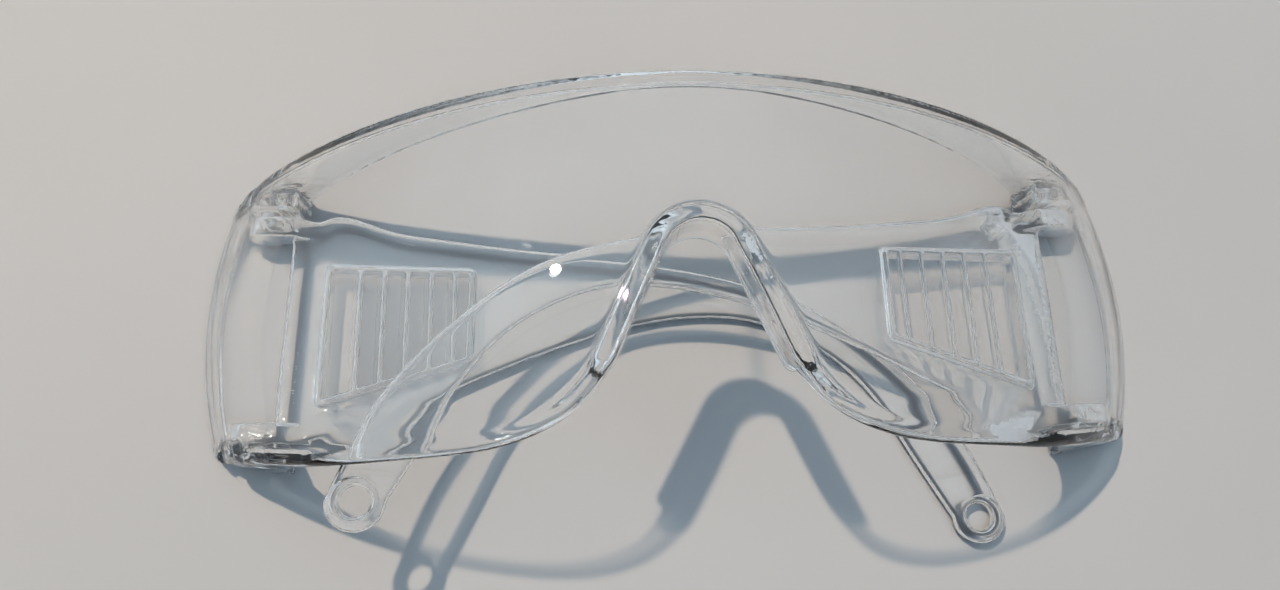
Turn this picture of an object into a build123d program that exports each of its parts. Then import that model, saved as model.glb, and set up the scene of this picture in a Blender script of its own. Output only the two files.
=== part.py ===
from build123d import *
from math import cos, radians, sin, tan
import os

# Clear over-spectacles: a one-piece wraparound lens shield and two folding temples.
#
# Frame: +Z up, X across the face, Y towards the brow. The spectacles lie folded on a table with
# the front of the lens facing up. The origin is on the table, under the middle of the footprint.

os.makedirs("parts", exist_ok=True)

# ---- driving dimensions, mm -------------------------------------------------------------
LENS_Y = 5.33  # the hinges' middle line lies this far from the middle of the folded footprint
HALF_WIDTH = 80.0  # half the width across the side walls, at the hinges' middle line
SIDE_BULGE = 3.5  # how much narrower the lens is at SIDE_SPAN above and below that line
SIDE_SPAN = 22.0
FRONT_Z = 39.2  # highest point of the lens front, above its rear rim
FRONT_CROWN_Y = 4.0  # where that point is, above the middle line
FRONT_SAG = 0.005  # fall of the front away from it, per mm squared
FRONT_POWER = 4 / 3  # shape of the wrap: 1 is an ellipse, more is a rounder front
WALL = 2.3  # lens wall
RIM = 2.0  # thickness of the brow and lower flanges

BROW_Y = 28.7  # top of the brow arch at the middle
BROW_END_Y = 20.6  # brow arch at the corners
LOWER_END_Y = -22.8
LOWER_EDGE = [(56, -26.1), (36, -26.7), (24, -24.8), (17.3, -21.2)]  # from corner to nose
CORNER_X = 76.8
CORNER_R = 4.0

NOSE_TOP_Y = 3.6  # top of the nose notch
NOSE_R = 5.5
NOSE_FLARE = 24.9  # each leg of the notch leans out by this angle
NOSE_END_Y = -15.8
NOSE_WALL = 2.3
NOSE_DEPTH = 8.8  # how far the nose wall runs back from the front
NOSE_LEAN = 8.0  # slant of its rear edge

HINGE_X = 69.7
HINGE_Z = 3.4  # hinge axis above the lens's rear rim
UPPER_SHELF_Y = 18.1  # inner faces of the hinge shelves, from the middle line
LOWER_SHELF_Y = -20.9
SHELF_X = 63.5  # where a shelf starts
SHELF_DEPTH = 10.0  # how far it runs forward from the rear rim
SHELF_SPAN = 10.0  # more than its thickness: the lens outline ends it
PEG_R = 1.2
PEG_PLAY = 0.05  # radial clearance of a peg in its bore

EAR_R = 3.0  # rounded end of a temple lug, about the axis
EAR_GAP = 0.3  # lug to shelf
LUG = 3.4  # lug thickness along the axis
PLATE = 2.0  # temple thickness
PLATE_DROP = 0.7  # temple's middle plane to the axis
PLATE_START = 4.0  # distance of the plate's edge from the axis
BOW = 4.0  # how far the temple bows in towards the head over BOW_SPAN
BOW_SPAN = 130.0
RIGHT_FOLD = -2.15  # angle of the folded right temple, degrees, + towards the lens
LEFT_FOLD = 6.3
TILT = 0.9  # play in the hinges lets the right plate tip down and the left one up, degrees

TIP = (119.2, -33.2)  # lanyard hole, along the temple and across it
TIP_R = 4.3
TIP_HOLE_R = 2.2

WRAP_STEPS = 8  # points along half a lens section

VENT_START = 11.4  # first louvre, from the axis
VENT_PITCH = 3.92
VENT_BAYS = 5
VENT_LAST = 3.2  # the narrower last bay
VENT_TOP = 8.8
VENT_LOW = -13.2  # lower corner at the hinge side
VENT_LOW_END = -5.8  # lower corner at the ear side
VENT_FRAME = 1.1  # width of the raised frame
VENT_RISE = 1.6  # how far the frame stands in from the plate
SLAT = 0.9
SLAT_TILT = 1.5  # sideways run of a slat through the vent

LUG_RUN = 5.0  # full height of a lug, from the axis
LUG_END = 9.5  # where it runs out in the plate
UPPER_PEG = 3.0
LOWER_PEG = 3.2

# half of each flange's rear edge: across from the middle, and up from the table
REAR_START = (-0.7, 0.7)  # direction in which a rear edge leaves the rear rim
BROW_REAR = [(66, 0), (54.3, 10.8), (35.5, 22.2), (18, 29), (0, 32.2)]
LOWER_REAR = [(66, 0), (60, 12), (48, 23.2), (28, 30), (0, 32.2)]

# upper and lower edges of a temple: along it from the axis, and up from the middle line
TOP_EDGE = [
    (6.5, 17.5),
    (10, 18.9),
    (18.7, 17.2),
    (28, 15.4),
    (41, 13.8),
    (56, 12.5),
    (71, 10.8),
    (83.3, 8),
    (92.5, 4.5),
    (104.7, -4.5),
    (118, -20.6),
]
UNDER_EDGE = [
    (108.3, -21.6),
    (104.3, -14.6),
    (98.5, -7.6),
    (92.5, -3.3),
    (82.8, 0.7),
    (74, 1.4),
    (64, 0.2),
    (49, -4.3),
    (32, -11.4),
    (18.7, -17.3),
]
BIG = 120.0  # longer than anything that it cuts


# ---- helpers ----------------------------------------------------------------------------
def front_plane(z=0.0):
    """The plane of the front view, z above the table."""
    return Plane(origin=(0, LENS_Y, z))


def section_plane(y):
    """The plane of a horizontal section of the worn spectacles, y above the middle line."""
    return Plane(origin=(0, LENS_Y + y, 0), x_dir=(1, 0, 0), z_dir=(0, -1, 0))


def wrap_points(y, wall):
    """Half of the lens section at y, from the middle to the side, wall inside the outer surface."""
    half = HALF_WIDTH - SIDE_BULGE * (y / SIDE_SPAN) ** 2 - wall
    height = FRONT_Z - FRONT_SAG * (y - FRONT_CROWN_Y) ** 2 - wall
    angles = [radians(90 * i / WRAP_STEPS) for i in range(WRAP_STEPS)]
    points = [(half * sin(a), height * cos(a) ** FRONT_POWER) for a in angles]
    return points + [(half, 0)]


def dome(wall):
    """The +X half of the solid between the table and the lens surface, wall inside the outer one."""
    with BuildPart() as solid:
        for y in (-36, -18, 0, 18, 36):
            with BuildSketch(section_plane(y)):
                with BuildLine():
                    points = wrap_points(y, wall)
                    Spline(points, tangents=((1, 0), (0, -1)))
                    Polyline(points[-1], (0, 0), points[0])
                make_face()
        loft()
    return solid.part


def notch_line(grow):
    """Half of the nose notch, grown by grow, from its top to the end of its leg."""
    radius = NOSE_R + grow
    centre_y = NOSE_TOP_Y - NOSE_R
    flare = radians(NOSE_FLARE)
    top = (0, centre_y + radius)
    middle = (radius * sin((radians(90) - flare) / 2), centre_y + radius * cos((radians(90) - flare) / 2))
    tangent = (radius * cos(flare), centre_y + radius * sin(flare))
    end = (tangent[0] + (tangent[1] - NOSE_END_Y) * tan(flare), NOSE_END_Y)
    return top, middle, tangent, end


def outline(inset=0.0):
    """The +X half of the lens in front view. An inset leaves the side where it is."""
    top, middle, tangent, end = notch_line(inset)
    brow_top = (0, BROW_Y - inset)
    brow_middle = (CORNER_X / 2, BROW_Y - inset - (BROW_Y - BROW_END_Y) / 4)
    upper_corner = (CORNER_X, BROW_END_Y - inset)
    lower_corner = (CORNER_X, LOWER_END_Y + inset)
    with BuildSketch() as sketch:
        with BuildLine():
            ThreePointArc(brow_top, brow_middle, upper_corner)
            ThreePointArc(upper_corner, (HALF_WIDTH + 1, 0), lower_corner)
            Spline(lower_corner, *[(x, y + inset) for x, y in LOWER_EDGE], end)
            Line(end, tangent)
            ThreePointArc(tangent, middle, top)
            Line(top, brow_top)
        make_face()
        if inset == 0:
            fillet(sketch.vertices().filter_by(lambda v: v.X > CORNER_X - 1), CORNER_R)
    return sketch.sketch


# ---- lens shield ------------------------------------------------------------------------
outer = dome(0)
inner = dome(WALL)

with BuildPart() as hollow:
    add(inner)
    with BuildSketch(front_plane()):
        add(outline(RIM))
    extrude(amount=BIG, both=True, mode=Mode.INTERSECT)

with BuildPart() as shelves:
    add(outer)
    with BuildSketch(front_plane()):
        add(outline())
    extrude(amount=BIG, both=True, mode=Mode.INTERSECT)
    with BuildSketch(front_plane()):
        shelf = (HALF_WIDTH - SHELF_X, SHELF_SPAN)
        for y in (UPPER_SHELF_Y + SHELF_SPAN / 2, LOWER_SHELF_Y - SHELF_SPAN / 2):
            with Locations((SHELF_X + shelf[0] / 2, y)):
                Rectangle(*shelf)
    extrude(amount=SHELF_DEPTH, mode=Mode.INTERSECT)

with BuildPart() as nose_wall:
    add(outer)
    with BuildSketch(front_plane()):
        with BuildLine():
            top, middle, tangent, end = notch_line(0)
            wide_top, wide_middle, wide_tangent, wide_end = notch_line(NOSE_WALL)
            ThreePointArc(top, middle, tangent)
            Line(tangent, end)
            Line(end, wide_end)
            Line(wide_end, wide_tangent)
            ThreePointArc(wide_tangent, wide_middle, wide_top)
            Line(wide_top, top)
        make_face()
    extrude(amount=BIG, both=True, mode=Mode.INTERSECT)
    lean = radians(NOSE_LEAN)
    rear = Plane(
        origin=(0, LENS_Y + NOSE_TOP_Y, FRONT_Z - NOSE_DEPTH),
        x_dir=(1, 0, 0),
        z_dir=(0, -sin(lean), cos(lean)),
    )
    split(bisect_by=rear, keep=Keep.TOP)

with BuildPart() as lens_shield:
    add(outer)
    with BuildSketch(front_plane()):
        add(outline())
    extrude(amount=BIG, both=True, mode=Mode.INTERSECT)
    add(hollow.part, mode=Mode.SUBTRACT)
    add(shelves.part)
    # what is behind the flanges' rear edges comes away
    for rear_edge, direction in ((BROW_REAR, 1), (LOWER_REAR, -1)):
        with BuildSketch(section_plane(0)):
            with BuildLine():
                Spline(rear_edge, tangents=(REAR_START, (-1, 0)))
                Polyline(rear_edge[-1], (0, 0), rear_edge[0])
            make_face()
        extrude(amount=-direction * BIG, mode=Mode.SUBTRACT)
    add(nose_wall.part)
    with BuildSketch(section_plane(0)):
        with Locations((HINGE_X, HINGE_Z)):
            Circle(PEG_R + PEG_PLAY)
    extrude(amount=BIG, both=True, mode=Mode.SUBTRACT)
    mirror(about=Plane.YZ)
lens_shield.part.label = "lens_shield"
export_step(lens_shield.part, "parts/lens_shield.step")


# ---- temples ----------------------------------------------------------------------------
def temple(side, fold, tilt):
    """A temple folded at an angle. side is -1 for the wearer's right, +1 for the left."""
    fold, tilt = radians(fold), radians(tilt)
    axis = (side * HINGE_X, LENS_Y, HINGE_Z)
    along = (-side * cos(fold), 0, sin(fold))
    tipped = (along[0] * cos(tilt), sin(tilt), along[2] * cos(tilt))
    plate = Plane(origin=axis, x_dir=tipped, z_dir=(-sin(fold), 0, -side * cos(fold)))
    profile = Plane(origin=axis, x_dir=along, z_dir=(0, -1, 0))

    def depth(s, shift=0.0):
        """Distance of the plate's middle from the axis, s along it, as the profile measures it."""
        return side * (PLATE_DROP - BOW * (s / BOW_SPAN) ** 2 + shift)

    vent_end = VENT_START + VENT_BAYS * VENT_PITCH + VENT_LAST
    vent_outline = [
        (VENT_START, VENT_TOP),
        (vent_end, VENT_TOP - 0.4),
        (vent_end, VENT_LOW_END),
        (VENT_START, VENT_LOW),
    ]
    rise = -PLATE / 2 - VENT_RISE
    upper_y = UPPER_SHELF_Y - EAR_GAP
    lower_y = LOWER_SHELF_Y + EAR_GAP

    with BuildPart() as slats:
        with BuildSketch(profile):
            for i in range(1, VENT_BAYS + 1):
                s = VENT_START + i * VENT_PITCH
                with BuildLine():
                    Polyline(
                        (s - SLAT_TILT / 2, depth(s, PLATE / 2)),
                        (s - SLAT_TILT / 2 + SLAT, depth(s, PLATE / 2)),
                        (s + SLAT_TILT / 2 + SLAT, depth(s, rise)),
                        (s + SLAT_TILT / 2, depth(s, rise)),
                        close=True,
                    )
                make_face()
        extrude(amount=BIG, both=True)
        with BuildSketch(plate):
            with BuildLine():
                Polyline(vent_outline, close=True)
            make_face()
            offset(amount=VENT_FRAME / 2, kind=Kind.INTERSECTION)
        extrude(amount=BIG, both=True, mode=Mode.INTERSECT)

    with BuildPart() as result:
        with BuildSketch(profile):
            with BuildLine():
                ends = (PLATE_START, TIP[0] + 2 * TIP_R)
                halfway = sum(ends) / 2
                outside = [(s, depth(s, PLATE / 2)) for s in (ends[0], halfway, ends[1])]
                inside = [(s, depth(s, -PLATE / 2)) for s in (ends[1], halfway, ends[0])]
                ThreePointArc(*outside)
                Line(outside[-1], inside[0])
                ThreePointArc(*inside)
                Line(inside[-1], outside[0])
            make_face()
        extrude(amount=BIG, both=True)
        with BuildSketch(plate):
            with BuildLine():
                upper = Spline((PLATE_START, upper_y), *TOP_EDGE, (TIP[0] + TIP_R, TIP[1]))
                round_tip = ThreePointArc(
                    upper @ 1, (TIP[0], TIP[1] - TIP_R), (TIP[0] - TIP_R, TIP[1])
                )
                lower = Spline(round_tip @ 1, *UNDER_EDGE, (PLATE_START, lower_y))
                Line(lower @ 1, upper @ 0)
            make_face()
        extrude(amount=BIG, both=True, mode=Mode.INTERSECT)
        # raised frame of the vent
        with BuildSketch(plate.offset(side * PLATE_DROP)):
            with BuildLine():
                Polyline(vent_outline, close=True)
            make_face()
            offset(amount=VENT_FRAME, kind=Kind.INTERSECTION)
        extrude(amount=side * rise)
        with BuildSketch(plate):
            with BuildLine():
                Polyline(vent_outline, close=True)
            make_face()
        extrude(amount=BIG, both=True, mode=Mode.SUBTRACT)
        add(slats.part)
        with BuildSketch(plate):
            with Locations(TIP):
                Circle(TIP_HOLE_R)
        extrude(amount=BIG, both=True, mode=Mode.SUBTRACT)
        # hinge lugs and their pegs
        for end, lug_y, peg in ((1, upper_y, UPPER_PEG), (-1, lower_y, LOWER_PEG)):
            lug_face = profile.offset(-lug_y)
            with BuildSketch(lug_face):
                with BuildLine():
                    Polyline(
                        (0, -side * EAR_R),
                        (LUG_RUN, -side * EAR_R),
                        (LUG_END, depth(LUG_END)),
                        (LUG_END, depth(LUG_END, PLATE / 2)),
                        (PLATE_START, depth(PLATE_START, PLATE / 2)),
                        (0, side * EAR_R),
                        close=True,
                    )
                make_face()
                Circle(EAR_R)
            extrude(amount=end * LUG)
            with BuildSketch(lug_face):
                Circle(PEG_R)
            extrude(amount=-end * peg)
    return result


right_temple = temple(-1, RIGHT_FOLD, -TILT)
right_temple.part.label = "right_temple"
export_step(right_temple.part, "parts/right_temple.step")

left_temple = temple(1, LEFT_FOLD, TILT)
left_temple.part.label = "left_temple"
export_step(left_temple.part, "parts/left_temple.step")
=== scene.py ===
import math

import bpy
import numpy as np
from mathutils import Matrix, Vector


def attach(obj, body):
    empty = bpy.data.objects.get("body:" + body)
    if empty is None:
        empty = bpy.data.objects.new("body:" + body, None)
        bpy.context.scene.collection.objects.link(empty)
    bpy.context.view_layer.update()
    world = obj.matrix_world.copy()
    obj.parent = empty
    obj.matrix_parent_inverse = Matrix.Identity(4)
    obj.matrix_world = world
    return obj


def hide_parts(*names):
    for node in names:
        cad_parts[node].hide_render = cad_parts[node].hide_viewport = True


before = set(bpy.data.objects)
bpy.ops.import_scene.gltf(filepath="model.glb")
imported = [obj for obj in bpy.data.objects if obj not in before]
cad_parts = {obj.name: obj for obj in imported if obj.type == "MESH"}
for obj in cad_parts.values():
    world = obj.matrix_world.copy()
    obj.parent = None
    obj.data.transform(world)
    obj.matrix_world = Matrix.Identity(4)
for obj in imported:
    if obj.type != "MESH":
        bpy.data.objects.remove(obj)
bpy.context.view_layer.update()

MM = 0.001  # in metres

# ---- driving dimensions, mm ---------------------------------------------------------------
LENS_Y = 5.33  # the hinges' middle line lies this far from the middle of the folded footprint
HALF_WIDTH = 80.0  # half the width across the side walls, at the hinges' middle line
SIDE_BULGE = 3.5  # how much narrower the lens is at SIDE_SPAN above and below that line
SIDE_SPAN = 22.0
FRONT_Z = 39.2  # highest point of the lens front, above its rear rim
FRONT_CROWN_Y = 4.0  # where that point is, above the middle line
FRONT_SAG = 0.005  # fall of the front away from it, per mm squared
FRONT_POWER = 4 / 3  # shape of the wrap: 1 is an ellipse, more is a rounder front
WALL = 2.3  # lens wall
RIM = 2.0  # thickness of the brow and lower flanges

BROW_Y = 28.7  # top of the brow arch at the middle
BROW_END_Y = 20.6  # brow arch at the corners
LOWER_END_Y = -22.8
LOWER_EDGE = [(56, -26.1), (36, -26.7), (24, -24.8), (17.3, -21.2)]  # from corner to nose
CORNER_X = 76.8
CORNER_R = 4.0

NOSE_TOP_Y = 3.6  # top of the nose notch
NOSE_R = 5.5
NOSE_FLARE = 24.9  # each leg of the notch leans out by this angle
NOSE_END_Y = -15.8
NOSE_WALL = 2.3
NOSE_DEPTH = 8.8  # how far the nose wall runs back from the front
NOSE_LEAN = 8.0  # slant of its rear edge

HINGE_X = 69.7
HINGE_Z = 3.4  # hinge axis above the lens's rear rim
UPPER_SHELF_Y = 18.1  # inner faces of the hinge shelves, from the middle line
LOWER_SHELF_Y = -20.9
SHELF_X = 63.5  # where a shelf starts
SHELF_DEPTH = 10.0  # how far it runs forward from the rear rim
PEG_R = 1.2
PEG_PLAY = 0.05  # radial clearance of a peg in its bore

EAR_R = 3.0  # rounded end of a temple lug, about the axis
EAR_GAP = 0.3  # lug to shelf
LUG = 3.4  # lug thickness along the axis
PLATE = 2.0  # temple thickness
PLATE_DROP = 0.7  # temple's middle plane to the axis
PLATE_START = 4.0  # distance of the plate's edge from the axis
BOW = 4.0  # how far the temple bows in towards the head over BOW_SPAN
BOW_SPAN = 130.0
RIGHT_FOLD = -2.15  # angle of the folded right temple, degrees, + towards the lens
LEFT_FOLD = 6.3
TILT = 0.9  # play in the hinges lets the right plate tip down and the left one up, degrees

TIP = (119.2, -33.2)  # lanyard hole, along the temple and across it
TIP_R = 4.3
TIP_HOLE_R = 2.2

VENT_START = 11.4  # first louvre, from the axis
VENT_PITCH = 3.92
VENT_BAYS = 5
VENT_LAST = 3.2  # the narrower last bay
VENT_TOP = 8.8
VENT_LOW = -13.2  # lower corner at the hinge side
VENT_LOW_END = -5.8  # lower corner at the ear side
VENT_FRAME = 1.1  # width of the raised frame
VENT_RISE = 1.6  # how far the frame stands in from the plate
SLAT = 0.9
SLAT_TILT = 1.5  # sideways run of a slat through the vent

LUG_RUN = 5.0  # full height of a lug, from the axis
LUG_END = 9.5  # where it runs out in the plate
UPPER_PEG = 3.0
LOWER_PEG = 3.2

# half of each flange's rear edge: across from the middle, and up from the table
REAR_START = (-0.7, 0.7)  # direction in which a rear edge leaves the rear rim
BROW_REAR = [(66, 0), (54.3, 10.8), (35.5, 22.2), (18, 29), (0, 32.2)]
LOWER_REAR = [(66, 0), (60, 12), (48, 23.2), (28, 30), (0, 32.2)]

# upper and lower edges of a temple: along it from the axis, and up from the middle line
TOP_EDGE = [
    (6.5, 17.5),
    (10, 18.9),
    (18.7, 17.2),
    (28, 15.4),
    (41, 13.8),
    (56, 12.5),
    (71, 10.8),
    (83.3, 8),
    (92.5, 4.5),
    (104.7, -4.5),
    (118, -20.6),
]
UNDER_EDGE = [
    (108.3, -21.6),
    (104.3, -14.6),
    (98.5, -7.6),
    (92.5, -3.3),
    (82.8, 0.7),
    (74, 1.4),
    (64, 0.2),
    (49, -4.3),
    (32, -11.4),
    (18.7, -17.3),
]

# ---- dimensions of the visible meshes only, mm --------------------------------------------
FRONT_FALL = 2 / FRONT_POWER  # power of the height in the lens's section
LEAST_SLOPE = 0.004  # keeps the distance finite at the table under the middle of the lens
NOTCH_STEPS = 14  # points round the bend of the notch
REAR_STEPS = 700  # points along a rear edge
RIM_ROUND = 0.8  # edge between the lens surface and its outline
REAR_ROUND = 0.6  # edges of the rear rim and of the flanges' rear
HOLLOW_ROUND = 1.0  # corner between the lens's inner surface and a flange
SHELF_ROUND = 0.5  # edges and root of a hinge shelf
SHELF_END_ROUND = 0.6  # its front and rear edges
NOSE_ROUND = 0.9  # edges of the nose wall
NOSE_END_ROUND = 1.0  # its lower ends
NOSE_FILLET = 0.8  # root of the nose wall
HINGE_BORE = PEG_R + PEG_PLAY
CORNER_REACH = 1.1  # how far a softened corner's curve reaches, in CORNER_R
SIDE_REACH = 1.0  # how far the outline bows out past HALF_WIDTH
NOTCH_RUN = 30.0  # how far the notch is carried on past the lens's lower edge
REAR_END = 20.0  # how far a rear edge is carried on past its end, across and down

POCKET = 1.9  # side of a cored pocket in a hinge shelf
POCKET_OFF = 3.6  # from the hinge axis
POCKET_Y = 2.0  # from the shelf's inner face
POCKET_DEPTH = 7.5
POCKET_ROUND = 0.3
BEAD = 0.8  # radius of the bead inside the rear rim
BEAD_Z = 1.4  # its height
BEAD_FLOOR = 0.2  # it is cut off flat this far above the table
BEAD_ROUND = 0.3
BEAD_FILLET = 0.4

PLATE_ROUND = 0.75  # edges of a temple plate
HOLE_ROUND = 0.6  # edge of the lanyard hole
LIP = 0.4  # radius of the lip round the lanyard hole
LIP_OFF = 0.75  # from the hole's edge
LIP_FILLET = 0.3
VENT_EDGE_ROUND = 0.3
VENT_DROP = 0.4  # fall of the vent's top towards the ear
FRAME_SIDE_ROUND = 0.4
FRAME_TOP_ROUND = 0.45
FRAME_FILLET = 0.4
SLAT_ROUND = 0.42
SLAT_FILLET = 0.25
LUG_ROUND = 0.45
LUG_FILLET = 0.5
PEG_ROUND = 0.3

# ---- meshing settings, mm -----------------------------------------------------------------
SHIELD_STEP = 0.42  # mesh cell
TEMPLE_STEP = 0.32
LUG_STEP = 0.1  # cell of the table that holds a lug's outline
# what the mesher looks through, in each piece's own axes
SHIELD_BOX = (-81.5, -28.5, -1.2), (81.5, 30.5, 40.6)
TEMPLE_BOX = (-4.2, -41, -4.8), (125.5, 22.5, 4.8)

# ---- painted shadow: where the plastic's cast shadow is darkened, for the light it turns aside, mm ---
# it starts at a pair's first value and is full at the second
SHIELD_RIM_SHADE = -2.6, -1.9  # distance to the lens's outline, negative inside
MIDDLE_FADE = 0.55  # share of this that the lower rim loses in the middle
MIDDLE_FADE_Y = 0, 5  # below the middle line
MIDDLE_FADE_X = -58, -48  # minus the distance from the middle
SHELF_SHADE = -11, -10  # minus the height
NOSE_SHADE = -4.2, -3.6  # minus the distance from the notch
TEMPLE_RIM_SHADE = -1.9, -1.2  # distance to the temple's outline, negative inside
VENT_SHADE = 0.25  # the slats' share of it
VENT_SHADE_EDGE = 0.2  # either side of the frame's edge
HOLE_SHADE_START, HOLE_SHADE_FULL = 1.2, 0.6  # from the edge of the lanyard hole
LUG_SHADE_RUN = 0.4  # inside a lug's inner face

# ---- looks --------------------------------------------------------------------------------
PLASTIC_INDEX = 1.585  # polycarbonate
PLASTIC_COLOUR = (0.995, 0.998, 0.998, 1)
# painted shadow: light that the plastic lets through to the floor, from face on to edge on, set as a colour
# on its shadow rays
PLASTIC_SHADE = (
    (0.0, (0.995, 0.995, 0.995)),
    (0.5, (0.97, 0.975, 0.98)),
    (0.85, (0.66, 0.69, 0.73)),
    (1.0, (0.2, 0.25, 0.32)),
)
DEEP_PAINTED_SHADOW = (0.16, 0.21, 0.27, 1)  # painted shadow colour where the mask says the plastic turns light aside
MARKS_FROM, MARKS_TO = 0.060, 0.066  # tool marks come in between these distances from the middle, m
FLOOR_LOW, FLOOR_HIGH = (0.72, 0.71, 0.70), (0.76, 0.75, 0.74)
FLOOR_HALF = 2  # half the table's side, m
# surroundings, from low to high
SKY = (
    (0.0, (0.24, 0.245, 0.25)),
    (0.16, (0.38, 0.39, 0.4)),
    (0.6, (0.47, 0.5, 0.53)),
    (0.85, (0.62, 0.69, 0.75)),
    (1.0, (0.74, 0.83, 0.9)),
)
SKY_LEAN_X, SKY_LEAN_Y = -0.22, 0.25  # the sky is brighter towards -X and +Y
SKY_PATCHES = 0.14  # and unevenly so, by up to this much

CAMERA_AT = (-0.016342, -0.038227, 0.153284)
CAMERA_FORWARD = (0.064019, 0.301451, -0.95133)
CAMERA_UP = (0.014627, 0.9529, 0.302933)
CAMERA_LENS, CAMERA_SENSOR = 25.515, 36.0  # mm
CAMERA_CLIP = 0.01, 10.0
BOUNCES, GLASS_BOUNCES = 24, 20  # enough for light to cross every wall of the folded spectacles

# ---- fields -------------------------------------------------------------------------------
TINY = 1e-12  # a length or a squared length below this counts as none
FAR = 1e9  # more than any squared distance
TABLE_EDGE = 0.001  # keeps a lookup inside the table's last cell


def round_max(a, b, r):
    """Intersection of two fields with its edge rounded to radius r."""
    return np.minimum(np.maximum(a, b), -r) + np.hypot(np.maximum(a + r, 0), np.maximum(b + r, 0))


def round_min(a, b, r):
    """Union of two fields with a fillet of radius r between them."""
    return np.maximum(np.minimum(a, b), r) - np.hypot(np.maximum(r - a, 0), np.maximum(r - b, 0))


def spline(points, start=None, end=None, per_span=12):
    """A smooth curve through points, with the directions given at its ends."""
    p = np.array(points, float)
    t = np.concatenate([[0], np.cumsum(np.linalg.norm(np.diff(p, axis=0), axis=1))])
    n = len(p)
    rows = np.zeros((n, n))
    right = np.zeros((n, 2))
    h = np.diff(t)
    for i in range(1, n - 1):
        rows[i, i - 1 : i + 2] = 1 / h[i - 1], 2 * (1 / h[i - 1] + 1 / h[i]), 1 / h[i]
        right[i] = 3 * ((p[i] - p[i - 1]) / h[i - 1] ** 2 + (p[i + 1] - p[i]) / h[i] ** 2)
    for i, j, direction in ((0, 1, start), (n - 1, n - 2, end)):
        if direction is None:
            rows[i, i], rows[i, j] = 2, 1
            right[i] = 3 * (p[j] - p[i]) / (t[j] - t[i])
        else:
            rows[i, i] = 1
            right[i] = np.array(direction, float) / np.linalg.norm(direction)
    slope = np.linalg.solve(rows, right)
    made = []
    for i in range(n - 1):
        u = np.linspace(0, 1, per_span, endpoint=False)[:, None]
        made.append(
            (2 * u**3 - 3 * u**2 + 1) * p[i] + (u**3 - 2 * u**2 + u) * h[i] * slope[i]
            + (3 * u**2 - 2 * u**3) * p[i + 1] + (u**3 - u**2) * h[i] * slope[i + 1]
        )
    return np.vstack(made + [p[-1:]])


def arc(a, b, c, steps=24):
    """Points on the circle through a, b and c, from a to c."""
    a, b, c = (np.array(v, float) for v in (a, b, c))
    rows = 2 * np.array([b - a, c - a])
    centre = np.linalg.solve(rows, [b @ b - a @ a, c @ c - a @ a])
    first, last = (math.atan2(*(v - centre)[::-1]) for v in (a, c))
    middle = math.atan2(*(b - centre)[::-1])
    turn = (last - first) % (2 * math.pi)
    if (middle - first) % (2 * math.pi) > turn:
        turn -= 2 * math.pi
    angles = first + turn * np.linspace(0, 1, steps)
    return centre + np.linalg.norm(a - centre) * np.stack([np.cos(angles), np.sin(angles)], 1)


def soften(points, corner, reach, steps=10):
    """Points of a closed line with one corner replaced by a curve that starts reach away from it."""
    corner = np.array(corner, float)
    far = np.linalg.norm(points - corner, axis=1) > reach
    i = int(np.argmin(np.linalg.norm(points - corner, axis=1)))
    before, after = i, i
    while not far[before]:
        before -= 1
    while not far[after]:
        after += 1
    u = np.linspace(0, 1, steps)[:, None]
    a, b = points[before], points[after]
    a = corner + (a - corner) * reach / np.linalg.norm(a - corner)
    b = corner + (b - corner) * reach / np.linalg.norm(b - corner)
    bend = (1 - u) ** 2 * a + 2 * u * (1 - u) * corner + u**2 * b
    return np.vstack([points[: before + 1], bend, points[after:]])


class Region:
    """Signed distance to a closed line, negative inside, looked up in a table."""

    def __init__(self, line, step=0.2, margin=4.0):
        line = np.asarray(line, float)
        self.lo = line.min(0) - margin
        self.step = step
        size = np.ceil((line.max(0) + margin - self.lo) / step).astype(int) + 1
        u = self.lo[0] + step * np.arange(size[0])[:, None]
        v = self.lo[1] + step * np.arange(size[1])[None, :]
        best = np.full(size, FAR)
        inside = np.zeros(size, bool)
        for (ax, ay), (bx, by) in zip(line, np.roll(line, -1, 0)):
            dx, dy = bx - ax, by - ay
            length = dx * dx + dy * dy
            if length < TINY:
                continue
            t = np.clip(((u - ax) * dx + (v - ay) * dy) / length, 0, 1)
            best = np.minimum(best, (u - ax - t * dx) ** 2 + (v - ay - t * dy) ** 2)
            if abs(dy) > TINY:
                crosses = (ay > v) != (by > v)
                inside ^= crosses & (u < ax + (v - ay) * dx / dy)
        self.table = np.where(inside, -1.0, 1.0) * np.sqrt(best)

    def __call__(self, x, y):
        last = np.array(self.table.shape) - 1 - TABLE_EDGE
        gx = np.clip((x - self.lo[0]) / self.step, 0, last[0])
        gy = np.clip((y - self.lo[1]) / self.step, 0, last[1])
        i, j = gx.astype(int), gy.astype(int)
        fx, fy = gx - i, gy - j
        t = self.table
        return (t[i, j] * (1 - fx) + t[i + 1, j] * fx) * (1 - fy) + (
            t[i, j + 1] * (1 - fx) + t[i + 1, j + 1] * fx
        ) * fy


# ---- meshing ------------------------------------------------------------------------------
MOVES = 3  # rounds of moving the vertices onto the surface
PROBE = 0.02  # half the distance over which a slope is taken, mm
LEAST_SLOPE_SQUARED = 0.05
LONGEST_MOVE = 0.4  # of a cell
TINY_MOVE = 1e-9


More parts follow.
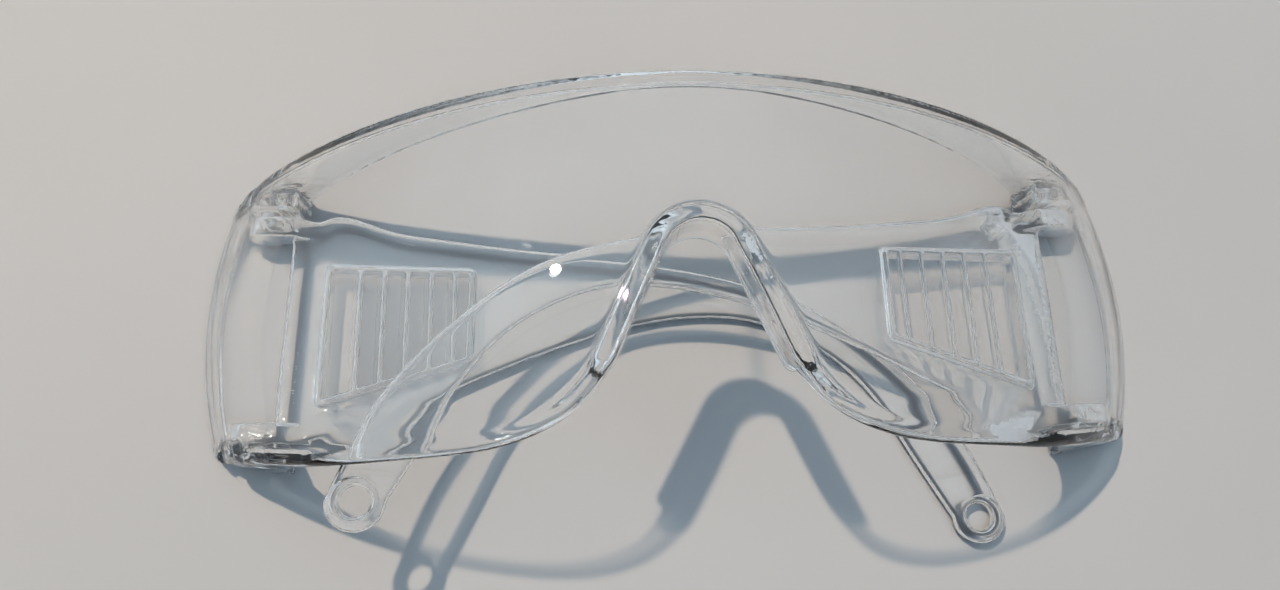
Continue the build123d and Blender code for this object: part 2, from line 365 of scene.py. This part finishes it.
def surface(field, lo, hi, step):
    """Vertices and quads of the surface where field is 0."""
    axes = [np.arange(a, b + step, step) for a, b in zip(lo, hi)]
    x, y, z = (g.reshape([-1 if i == k else 1 for i in range(3)]) for k, g in enumerate(axes))
    f = np.broadcast_to(field(x, y, z), [len(a) for a in axes]).astype(np.float32)
    low = f < 0
    cells = [n - 1 for n in f.shape]
    count = np.zeros(cells, np.int8)
    corners = [(i, j, k) for i in (0, 1) for j in (0, 1) for k in (0, 1)]

    def shifted(a, c):
        return a[c[0] : c[0] + cells[0], c[1] : c[1] + cells[1], c[2] : c[2] + cells[2]]

    for c in corners:
        count += shifted(low, c)
    active = (count > 0) & (count < len(corners))
    at = np.argwhere(active)
    number = np.full(cells, -1, np.int64)
    number[active] = np.arange(len(at))
    values = {c: shifted(f, c)[active] for c in corners}
    total = np.zeros((len(at), 3))
    hits = np.zeros(len(at))
    for a in corners:
        for k in range(3):
            if a[k]:
                continue
            b = tuple(v + (i == k) for i, v in enumerate(a))
            va, vb = values[a], values[b]
            crossed = (va < 0) != (vb < 0)
            t = np.where(crossed, va / np.where(crossed, va - vb, 1), 0)
            point = np.array(a, float) + t[:, None] * np.eye(3)[k]
            total += point * crossed[:, None]
            hits += crossed
    points = np.array(lo) + step * (at + total / hits[:, None])
    quads = []
    for k in range(3):
        first = [slice(1, n - 1) for n in f.shape]
        first[k] = slice(0, f.shape[k] - 1)
        second = list(first)
        second[k] = slice(1, f.shape[k])
        a, b = low[tuple(first)], low[tuple(second)]
        for flip in (False, True):
            edge = np.argwhere((a & ~b) if not flip else (~a & b))
            edge += [s.start for s in first]
            u, v = (k + 1) % 3, (k + 2) % 3
            ring = []
            for du, dv in ((-1, -1), (0, -1), (0, 0), (-1, 0)):
                cell = edge.copy()
                cell[:, u] += du
                cell[:, v] += dv
                ring.append(number[cell[:, 0], cell[:, 1], cell[:, 2]])
            quad = np.stack(ring, 1)
            quads.append(quad[:, ::-1] if flip else quad)
    quads = np.vstack(quads)
    # move each vertex onto the surface
    for _ in range(MOVES):
        value = field(*points.T)
        slope = np.stack([
            (field(*(points + d).T) - field(*(points - d).T)) / (2 * PROBE) for d in PROBE * np.eye(3)
        ], 1)
        move = value[:, None] * slope / np.maximum((slope**2).sum(1), LEAST_SLOPE_SQUARED)[:, None]
        length = np.linalg.norm(move, axis=1)[:, None]
        points = points - move * np.minimum(1, LONGEST_MOVE * step / np.maximum(length, TINY_MOVE))
    return points, quads


def link_in(name, data):
    """A new object in the scene."""
    made = bpy.data.objects.new(name, data)
    bpy.context.scene.collection.objects.link(made)
    return made


def mesh_object(name, points, quads):
    """A smooth-shaded object from points in millimetres."""
    mesh = bpy.data.meshes.new(name)
    mesh.vertices.add(len(points))
    mesh.vertices.foreach_set("co", (points * MM).astype(np.float32).ravel())
    mesh.loops.add(4 * len(quads))
    mesh.loops.foreach_set("vertex_index", quads.astype(np.int32).ravel())
    mesh.polygons.add(len(quads))
    mesh.polygons.foreach_set("loop_start", np.arange(0, 4 * len(quads), 4, dtype=np.int32))
    mesh.update(calc_edges=True)
    mesh.validate()
    mesh.polygons.foreach_set("use_smooth", np.ones(len(mesh.polygons), bool))
    return link_in(name, mesh)


def store(obj, values):
    """Keeps for each vertex the mask of the painted shadow, for how much the plastic round it turns light
    aside.
    """
    attribute = obj.data.attributes.new("painted_shadow_and_marks", "FLOAT", "POINT")
    attribute.data.foreach_set("value", values.astype(np.float32))


# ---- the shield ---------------------------------------------------------------------------
def dome(x, y, z, wall):
    """Distance to the lens's outer surface moved in by wall."""
    half = HALF_WIDTH - SIDE_BULGE * (y / SIDE_SPAN) ** 2 - wall
    height = FRONT_Z - FRONT_SAG * (y - FRONT_CROWN_Y) ** 2 - wall
    up = np.maximum(z, 0) / height
    across = x / half
    value = across**2 + up**FRONT_FALL - 1
    slope_x = 2 * across / half
    slope_z = FRONT_FALL * up ** (FRONT_FALL - 1) / height
    half_slope = across**2 * 4 * SIDE_BULGE * y / SIDE_SPAN**2 / half
    slope_y = half_slope + up**FRONT_FALL * (2 * FRONT_FALL) * FRONT_SAG * (y - FRONT_CROWN_Y) / height
    return value / np.maximum(np.sqrt(slope_x**2 + slope_y**2 + slope_z**2), LEAST_SLOPE)


def notch_half():
    """Half of the nose notch's line, from its top down one leg."""
    centre_y = NOSE_TOP_Y - NOSE_R
    flare = math.radians(NOSE_FLARE)
    angles = np.linspace(math.pi / 2, flare, NOTCH_STEPS)
    bend = np.stack([NOSE_R * np.cos(angles), centre_y + NOSE_R * np.sin(angles)], 1)
    drop = bend[-1, 1] - NOSE_END_Y
    return np.vstack([bend, [bend[-1, 0] + drop * math.tan(flare), NOSE_END_Y]])


def shield_outline():
    """The lens's outline from the front, round the brow, side, lower edge and nose notch."""
    upper, lower = (CORNER_X, BROW_END_Y), (CORNER_X, LOWER_END_Y)
    leg = notch_half()
    brow = arc((0, BROW_Y), (CORNER_X / 2, BROW_Y - (BROW_Y - BROW_END_Y) / 4), upper)
    side = arc(upper, (HALF_WIDTH + SIDE_REACH, 0), lower)
    low = spline([lower, *LOWER_EDGE, leg[-1]])
    half = np.vstack([brow, side[1:], low[1:], leg[::-1][1:]])
    for corner in (upper, lower):
        half = soften(half, corner, CORNER_R * CORNER_REACH)
    return np.vstack([half, (half * [-1, 1])[::-1][1:-1]])


def notch_outline():
    """The nose notch's line with its legs carried on below the lens."""
    half = notch_half()
    run = NOTCH_RUN * math.tan(math.radians(NOSE_FLARE))
    half = np.vstack([half, [half[-1, 0] + run, NOSE_END_Y - NOTCH_RUN]])
    return np.vstack([half, (half * [-1, 1])[::-1][:-1]])


def rear_height(edge):
    """|x| in steps, and over each the height of a flange's rear edge and the cosine of its slope."""
    line = spline(edge, REAR_START, (-1, 0))[::-1]
    x = np.concatenate([line[:, 0], [edge[0][0] + REAR_END]])
    z = np.concatenate([line[:, 1], [-REAR_END]])
    fine = np.linspace(0, x[-1], REAR_STEPS)
    height = np.interp(fine, x, z)
    return fine, height, 1 / np.hypot(1, np.gradient(height, fine))


outline_region = Region(shield_outline())
notch_region = Region(notch_outline())
brow_rear, lower_rear = rear_height(BROW_REAR), rear_height(LOWER_REAR)
lean = math.radians(NOSE_LEAN)


def flange_rear(x, y):
    """Height of the rear edge over x and the cosine of its slope, for the flange on y's side."""
    return [
        np.where(y > 0, np.interp(x, brow_rear[0], brow), np.interp(x, lower_rear[0], low))
        for brow, low in zip(brow_rear[1:], lower_rear[1:])
    ]


def shield_field(x, y, z):
    """Distance to the shield, from the middle of the footprint's hinge line on the table."""
    x = np.abs(x)
    outer, inner = dome(x, y, z, 0), dome(x, y, z, WALL)
    edge = outline_region(x, y)
    hollow = round_max(inner, edge + RIM, HOLLOW_ROUND)
    rear, slant = flange_rear(x, y)
    keep = np.maximum((rear - z) * slant, -z)
    skin = round_max(outer, edge, RIM_ROUND)
    body = round_max(np.maximum(skin, -hollow), keep, REAR_ROUND)
    # hinge shelves
    beyond = np.minimum(UPPER_SHELF_Y - y, y - LOWER_SHELF_Y)
    shelf = round_max(SHELF_X - x, beyond, SHELF_ROUND)
    shelf = round_max(shelf, np.abs(z - SHELF_DEPTH / 2) - SHELF_DEPTH / 2, SHELF_END_ROUND)
    body = round_min(body, round_max(shelf, skin, SHELF_ROUND), SHELF_ROUND)
    # cored pockets either side of each bore, and a bead inside the rear rim
    for pocket_x in (HINGE_X - POCKET_OFF, HINGE_X + POCKET_OFF):
        across, along = np.abs(x - pocket_x) - POCKET / 2, np.abs(beyond + POCKET_Y) - POCKET / 2
        pocket = round_max(across, along, POCKET_ROUND)
        body = round_max(body, -np.maximum(pocket, z - POCKET_DEPTH), POCKET_ROUND)
    bead = round_max(np.hypot(inner, z - BEAD_Z) - BEAD, edge + RIM / 2, BEAD_ROUND)
    body = round_min(body, np.maximum(bead, BEAD_FLOOR - z), BEAD_FILLET)
    # nose wall
    gap = notch_region(x, y)
    behind = math.sin(lean) * (y - NOSE_TOP_Y) - math.cos(lean) * (z - FRONT_Z + NOSE_DEPTH)
    wall = round_max(-gap, gap - NOSE_WALL, NOSE_ROUND)
    wall = round_max(round_max(wall, NOSE_END_Y - y, NOSE_END_ROUND), behind, NOSE_ROUND)
    body = round_min(body, round_max(wall, outer, NOSE_ROUND), NOSE_FILLET)
    return np.maximum(body, HINGE_BORE - np.hypot(x - HINGE_X, z - HINGE_Z))


# ---- the temples --------------------------------------------------------------------------
UPPER_Y, LOWER_Y = UPPER_SHELF_Y - EAR_GAP, LOWER_SHELF_Y + EAR_GAP  # outer faces of the lugs
upper_edge = spline([(PLATE_START, UPPER_Y), *TOP_EDGE, (TIP[0] + TIP_R, TIP[1])])
under_edge = spline([(TIP[0] - TIP_R, TIP[1]), *UNDER_EDGE, (PLATE_START, LOWER_Y)])
tip_round = arc((TIP[0] + TIP_R, TIP[1]), (TIP[0], TIP[1] - TIP_R), (TIP[0] - TIP_R, TIP[1]))
temple_region = Region(np.vstack([upper_edge, tip_round[1:-1], under_edge]))
vent_end = VENT_START + VENT_BAYS * VENT_PITCH + VENT_LAST
vent_region = Region([
    (VENT_START, VENT_TOP), (vent_end, VENT_TOP - VENT_DROP), (vent_end, VENT_LOW_END), (VENT_START, VENT_LOW)
])


def plate_middle(s):
    """Depth of the bowed plate's middle at s."""
    return PLATE_DROP - BOW * (s / BOW_SPAN) ** 2


end_depth = float(plate_middle(LUG_END))
lug_region = Region([
    (0, -EAR_R), (LUG_RUN, -EAR_R), (LUG_END, end_depth), (LUG_END, end_depth + PLATE / 2),
    (PLATE_START, float(plate_middle(PLATE_START)) + PLATE / 2), (0, EAR_R)
], step=LUG_STEP)


def untipped(s, y, tilt):
    """A point of a tilted plate in the plate's own outline."""
    tilt = math.radians(tilt)
    return s * math.cos(tilt) + y * math.sin(tilt), y * math.cos(tilt) - s * math.sin(tilt)


def temple_field(s, y, d, tilt):
    """Distance to a temple: s along it, y up it and d away from the lens, all from the hinge axis."""
    middle = plate_middle(s)
    away = np.abs(d - middle)
    across, up = untipped(s, y, tilt)
    from_hole = np.hypot(across - TIP[0], up - TIP[1])
    plate = round_max(temple_region(across, up), away - PLATE / 2, PLATE_ROUND)
    plate = round_max(plate, TIP_HOLE_R - from_hole, HOLE_ROUND)
    lip = np.hypot(from_hole - TIP_HOLE_R - LIP_OFF, away - PLATE / 2) - LIP
    plate = round_min(plate, lip, LIP_FILLET)
    # vent, its raised frame and its slats
    vent = vent_region(across, up)
    plate = round_max(plate, -vent, VENT_EDGE_ROUND)
    frame_mid, frame_half = middle - VENT_RISE / 2 - PLATE / 4, VENT_RISE / 2 + PLATE / 4
    border = round_max(vent - VENT_FRAME, -vent, FRAME_SIDE_ROUND)
    border = round_max(border, np.abs(d - frame_mid) - frame_half, FRAME_TOP_ROUND)
    body = round_min(plate, border, FRAME_FILLET)
    bar_mid, bar_half = middle - VENT_RISE / 2, (PLATE + VENT_RISE) / 2
    for i in range(1, VENT_BAYS + 1):
        centre = VENT_START + i * VENT_PITCH + SLAT / 2 - (d - bar_mid) / (2 * bar_half) * SLAT_TILT
        bar = round_max(np.abs(s - centre) - SLAT / 2, np.abs(d - bar_mid) - bar_half, SLAT_ROUND)
        body = round_min(body, np.maximum(bar, vent - VENT_FRAME / 2), SLAT_FILLET)
    # hinge lugs and pegs
    lug = np.minimum(lug_region(s, d), np.hypot(s, d) - EAR_R)
    for end, face, length in ((1, UPPER_Y, UPPER_PEG), (-1, LOWER_Y, LOWER_PEG)):
        out = (y - face) * end
        body = round_min(body, round_max(lug, np.abs(out + LUG / 2) - LUG / 2, LUG_ROUND), LUG_FILLET)
        peg = round_max(np.hypot(s, d) - PEG_R, np.abs(out - length / 2) - length / 2, PEG_ROUND)
        body = np.minimum(body, peg)
    return body


def temple_points(points, side, fold):
    """Puts a temple's points in the row frame."""
    fold = math.radians(fold)
    s, y, d = points.T
    return np.stack([
        side * HINGE_X - side * math.cos(fold) * s - side * math.sin(fold) * d,
        LENS_Y + y,
        HINGE_Z + math.sin(fold) * s - math.cos(fold) * d,
    ], 1)


def step_up(value, low, high):
    """0 below low, 1 above high and smooth between."""
    t = np.clip((value - low) / (high - low), 0, 1)
    return t * t * (3 - 2 * t)


def shield_shadow_mask(x, y, z):
    """Mask of the painted shadow: 1 in rims, flanges, hinge corners and nose wall, less along the lower rim's
    middle, 0 in the lens.
    """
    x = np.abs(x)
    rim = step_up(outline_region(x, y), *SHIELD_RIM_SHADE)
    rim = rim * (1 - MIDDLE_FADE * step_up(-y, *MIDDLE_FADE_Y) * step_up(-x, *MIDDLE_FADE_X))
    beyond = np.maximum(y - UPPER_SHELF_Y, LOWER_SHELF_Y - y)
    corner = step_up(x, SHELF_X - 1, SHELF_X) * step_up(beyond, -1, 0) * step_up(-z, *SHELF_SHADE)
    nose = step_up(-notch_region(x, y), *NOSE_SHADE) * step_up(y, NOSE_END_Y - 1, NOSE_END_Y)
    return np.maximum(np.maximum(rim, corner), nose)


def temple_shadow_mask(s, y, d, tilt):
    """Mask of the painted shadow: 1 at a temple's edges, lanyard hole and hinge lugs, less in its vent, and 0
    in its plate.
    """
    across, up = untipped(s, y, tilt)
    rim = step_up(temple_region(across, up), *TEMPLE_RIM_SHADE)
    vent = step_up(-vent_region(across, up), -VENT_FRAME - VENT_SHADE_EDGE, -VENT_FRAME + VENT_SHADE_EDGE)
    from_hole = np.hypot(across - TIP[0], up - TIP[1])
    hole = step_up(-from_hole, -TIP_HOLE_R - HOLE_SHADE_START, -TIP_HOLE_R - HOLE_SHADE_FULL)
    near_end = np.maximum(y - UPPER_Y, LOWER_Y - y)
    lug = step_up(-s, -LUG_RUN - 1, -LUG_RUN) * step_up(near_end, -LUG - LUG_SHADE_RUN, -LUG)
    return np.maximum.reduce([rim, VENT_SHADE * vent, hole, lug])


# ---- materials ----------------------------------------------------------------------------
MIX_FIRST, MIX_SECOND = 6, 7  # the colour inputs of a Mix node


class Nodes:
    """Short names for building a node tree."""

    def __init__(self, tree):
        self.tree = tree
        tree.nodes.clear()

    def add(self, kind, **values):
        """A new node with its inputs or properties set, or its inputs linked."""
        node = self.tree.nodes.new(kind)
        for key, value in values.items():
            if key in node.inputs:
                self.put(value, node.inputs[key])
            else:
                setattr(node, key, value)
        return node

    def put(self, value, socket):
        """Links an output to socket, or sets socket to a plain value."""
        if isinstance(value, bpy.types.NodeSocket):
            self.tree.links.new(value, socket)
        else:
            socket.default_value = value

    def fill(self, node, values):
        """Puts values into node's inputs in order."""
        for socket, value in zip(node.inputs, values):
            self.put(value, socket)
        return node

    def noise(self, coords, scale, detail=2.0, roughness=0.5):
        node = self.add("ShaderNodeTexNoise", Vector=coords, Scale=scale, Detail=detail, Roughness=roughness)
        return node.outputs["Fac"]

    def spread(self, value, low, high, to_low, to_high):
        """value moved from the range low..high to the range to_low..to_high."""
        return self.fill(self.add("ShaderNodeMapRange"), (value, low, high, to_low, to_high)).outputs[0]

    def maths(self, operation, *values):
        return self.fill(self.add("ShaderNodeMath", operation=operation), values).outputs[0]

    def ramp(self, value, *stops):
        """value turned into a colour by stops of a place and a colour each."""
        node = self.add("ShaderNodeValToRGB")
        self.put(value, node.inputs[0])
        ramp = node.color_ramp
        while len(ramp.elements) < len(stops):
            ramp.elements.new(0.5)
        for element, (place, colour) in zip(ramp.elements, stops):
            element.position = place
            element.color = (*colour, 1)
        return node.outputs[0]


def new_material(name):
    """An empty material, its nodes and the coordinates of the object that wears it."""
    made = bpy.data.materials.new(name)
    made.use_nodes = True
    n = Nodes(made.node_tree)
    return made, n, n.add("ShaderNodeTexCoord").outputs["Object"]


def clear_plastic(name):
    """Water-clear moulded polycarbonate: flow waviness, tool marks, handling haze and hairline scratches."""
    made, n, where = new_material(name)
    flow = n.noise(where, scale=38, detail=1.0)
    bump = n.add("ShaderNodeBump", Strength=0.12, Distance=0.0006, Height=flow)
    # tool marks, close together in the hinge corners
    # the painted shadow's mask, also used to place the tool marks
    shadow_and_marks = n.add("ShaderNodeAttribute", attribute_name="painted_shadow_and_marks").outputs["Fac"]
    aside = n.maths("ABSOLUTE", n.add("ShaderNodeSeparateXYZ", Vector=where).outputs["X"])
    corner = n.maths("MULTIPLY", shadow_and_marks, n.spread(aside, MARKS_FROM, MARKS_TO, to_low=0.0, to_high=0.9))
    marks = n.noise(where, scale=480)
    bump = n.add("ShaderNodeBump", Strength=corner, Distance=0.0004, Height=marks, Normal=bump.outputs[0])
    haze = n.noise(where, scale=70, detail=4.0)
    haze = n.spread(haze, low=0.45, high=0.75, to_low=0.0, to_high=0.035)
    stretch = n.add("ShaderNodeMapping", Vector=where, Rotation=(0.3, 0.2, 0.8), Scale=(60, 900, 400))
    hairs = n.noise(stretch.outputs[0], scale=1.0, detail=3.0, roughness=0.6)
    hairs = n.spread(hairs, low=0.66, high=0.74, to_low=0.0, to_high=0.09)
    roughness = n.maths("ADD", haze, hairs)
    glass = n.add(
        "ShaderNodeBsdfGlass", Color=PLASTIC_COLOUR, Roughness=roughness, IOR=PLASTIC_INDEX,
        Normal=bump.outputs[0]
    )
    # painted shadow: what the plastic takes from the light that goes through it to the floor, set as a colour
    # on its shadow rays: most where it is edge on, and deepest where the mask is set
    edge_on = n.add("ShaderNodeLayerWeight", Blend=0.5).outputs["Facing"]
    shadow_tint = n.add("ShaderNodeMix", data_type="RGBA", Factor=shadow_and_marks)
    n.put(n.ramp(edge_on, *PLASTIC_SHADE), shadow_tint.inputs[MIX_FIRST])
    n.put(DEEP_PAINTED_SHADOW, shadow_tint.inputs[MIX_SECOND])
    passed = n.add("ShaderNodeBsdfTransparent", Color=shadow_tint.outputs[2])
    shadow = n.add("ShaderNodeLightPath").outputs["Is Shadow Ray"]
    mixed = n.fill(n.add("ShaderNodeMixShader"), (shadow, glass.outputs[0], passed.outputs[0]))
    n.add("ShaderNodeOutputMaterial", Surface=mixed.outputs[0])
    return made


def table_top(name):
    """Pale matt table with a faint grain."""
    made, n, where = new_material(name)
    tone = n.ramp(n.noise(where, scale=9, detail=4.0), (0.3, FLOOR_LOW), (0.7, FLOOR_HIGH))
    grain = n.noise(where, scale=900, detail=3.0)
    bump = n.add("ShaderNodeBump", Strength=0.05, Distance=0.0002, Height=grain)
    shader = n.add("ShaderNodeBsdfDiffuse", Color=tone, Normal=bump.outputs[0])
    n.add("ShaderNodeOutputMaterial", Surface=shader.outputs[0])
    return made


# ---- pieces -------------------------------------------------------------------------------
clear = clear_plastic("clear_polycarbonate")
points, quads = surface(shield_field, *SHIELD_BOX, SHIELD_STEP)
shield = mesh_object("shield", points + [0, LENS_Y, 0], quads)
store(shield, shield_shadow_mask(*points.T))
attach(shield, "lens")
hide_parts("lens_shield")
pieces = [shield]
for side, fold, name, body, node in (
    (-1, RIGHT_FOLD, "temple_right", "right_arm", "right_temple"),
    (1, LEFT_FOLD, "temple_left", "left_arm", "left_temple"),
):
    tilt = side * TILT
    points, quads = surface(lambda s, y, d: temple_field(s, y, d, tilt), *TEMPLE_BOX, TEMPLE_STEP)
    # the left temple is mirrored, which turns its faces over
    arm = mesh_object(name, temple_points(points, side, fold), quads if side < 0 else quads[:, ::-1])
    store(arm, temple_shadow_mask(*points.T, tilt))
    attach(arm, body)
    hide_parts(node)
    pieces.append(arm)
for piece in pieces:
    piece.data.materials.append(clear)

# ---- floor, light and camera --------------------------------------------------------------
floor_mesh = bpy.data.meshes.new("floor")
corners = [(x * FLOOR_HALF, y * FLOOR_HALF, 0) for x, y in ((-1, -1), (1, -1), (1, 1), (-1, 1))]
floor_mesh.from_pydata(corners, [], [(0, 1, 2, 3)])
floor = link_in("floor", floor_mesh)
floor_mesh.materials.append(table_top("table_top"))


def lamp(name, direction, distance, size, power, colour):
    """A round lamp that shines on the origin from direction."""
    data = bpy.data.lights.new(name, "AREA")
    data.shape, data.size, data.energy, data.color = "DISK", size, power, colour
    made = link_in(name, data)
    towards = Vector(direction).normalized()
    made.location = towards * distance
    made.rotation_mode = "QUATERNION"
    made.rotation_quaternion = (-towards).to_track_quat("-Z", "Y")
    return made


# the key lights the table and casts the shadows, and the glint only shows in the plastic
key = lamp(
    "key", direction=(-0.306, 0.436, 0.846), distance=1.3, size=0.04, power=8.6, colour=(1.0, 0.83, 0.665)
)
key.visible_glossy = key.visible_transmission = False
glint = lamp(
    "glint", direction=(-0.336, 0.2, 0.92), distance=1.6, size=0.05, power=60.0, colour=(1.0, 0.95, 0.86)
)
glint.visible_diffuse = False
# the sky's light on the table comes from a lamp: with caustics off, the world's doesn't pass the plastic
sky_fill = lamp("sky_fill", direction=(0, 0, 1), distance=2.0, size=3.0, power=23.7, colour=(0.67, 0.84, 1.0))
sky_fill.visible_glossy = sky_fill.visible_transmission = False
sky_fill.data.cycles.use_multiple_importance_sampling = False

world = bpy.data.worlds.new("studio")
bpy.context.scene.world = world
world.use_nodes = True
world.cycles_visibility.diffuse = False
n = Nodes(world.node_tree)
direction = n.add("ShaderNodeTexCoord").outputs["Generated"]
split = n.add("ShaderNodeSeparateXYZ", Vector=direction).outputs
lift = n.maths("MULTIPLY_ADD", split["X"], SKY_LEAN_X, split["Z"])
lift = n.maths("MULTIPLY_ADD", split["Y"], SKY_LEAN_Y, lift)
patches = n.noise(direction, scale=2.6)
patches = n.spread(patches, low=0.3, high=0.7, to_low=-SKY_PATCHES, to_high=SKY_PATCHES)
sky = n.ramp(n.maths("ADD", lift, patches), *SKY)
background = n.add("ShaderNodeBackground", Color=sky, Strength=1.0)
n.add("ShaderNodeOutputWorld", Surface=background.outputs[0])

cam_data = bpy.data.cameras.new("camera")
camera = link_in("camera", cam_data)
bpy.context.scene.camera = camera
cam_data.sensor_width, cam_data.lens = CAMERA_SENSOR, CAMERA_LENS
cam_data.clip_start, cam_data.clip_end = CAMERA_CLIP
forward = Vector(CAMERA_FORWARD).normalized()
right = forward.cross(Vector(CAMERA_UP)).normalized()
above = right.cross(forward)
turned = Matrix((right, above, -forward)).transposed().to_4x4()
camera.matrix_world = Matrix.Translation(CAMERA_AT) @ turned

scene = bpy.context.scene
scene.cycles.max_bounces = scene.cycles.transparent_max_bounces = BOUNCES
scene.cycles.transmission_bounces = GLASS_BOUNCES
scene.cycles.caustics_refractive = scene.cycles.caustics_reflective = False
scene.view_settings.view_transform = "Standard"
